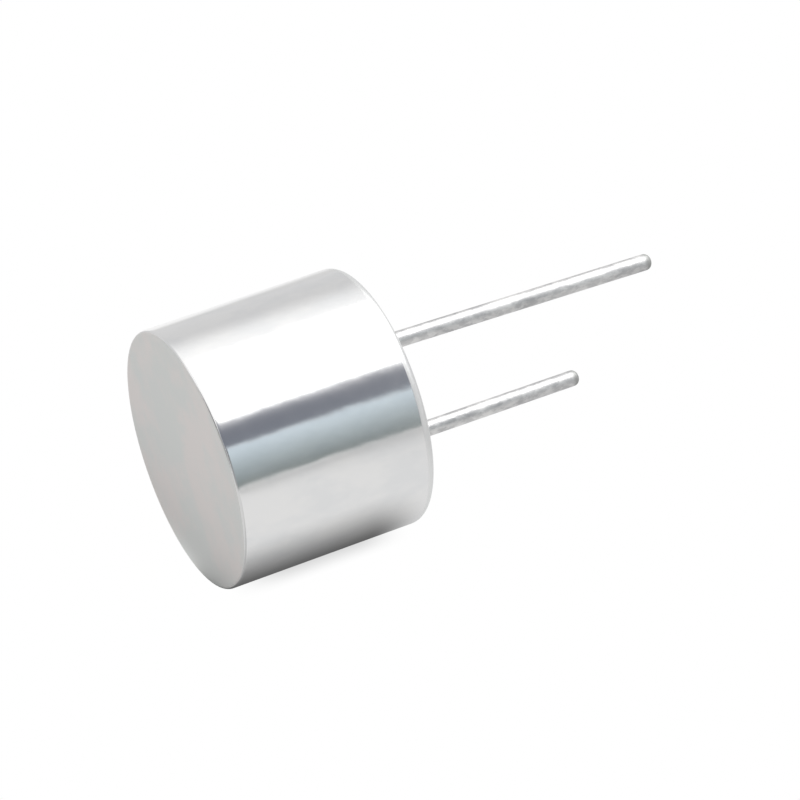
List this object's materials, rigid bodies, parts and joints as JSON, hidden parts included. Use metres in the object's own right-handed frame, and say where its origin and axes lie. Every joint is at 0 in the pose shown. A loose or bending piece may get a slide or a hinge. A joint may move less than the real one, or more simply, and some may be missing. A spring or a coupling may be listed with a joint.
{
  "type": "ultrasonic sensor",
  "caption": "Closed-can ultrasonic sensor: a turned aluminium cup with a thin flat radiating face and tinned round terminals out of its potted rear.",
  "frame": {"origin": "centre of the can's flat radiating face, which the part stands on", "axes": "+Z along the can's axis from the radiating face to the terminals, +X from the short terminal towards the long one"},
  "size_m": [0.016, 0.016, 0.0305],
  "materials": {
    "can_aluminium": "satin",
    "tinned_terminal": "gloss",
    "solder": "gloss",
    "copper_wire": "gloss",
    "silvered_ceramic": "matte",
    "adhesive": "gloss",
    "conductive_adhesive": "matte",
    "felt": "matte",
    "silicone": "satin",
    "board_laminate": "satin",
    "potting_resin": "satin"
  },
  "bodies": {
    "root": {"housing": "can_aluminium", "disc_bond": "adhesive", "piezo_disc": "silvered_ceramic", "disc_solder": "solder", "absorber_pad": "felt", "signal_lead": "copper_wire", "ground_lead": "copper_wire", "ground_contact": "conductive_adhesive", "silicone_fill": "silicone", "terminal_board": "board_laminate", "long_terminal": "tinned_terminal", "short_terminal": "tinned_terminal", "long_terminal_solder": "solder", "short_terminal_solder": "solder", "rear_seal": "potting_resin"}
  },
  "joints": []
}
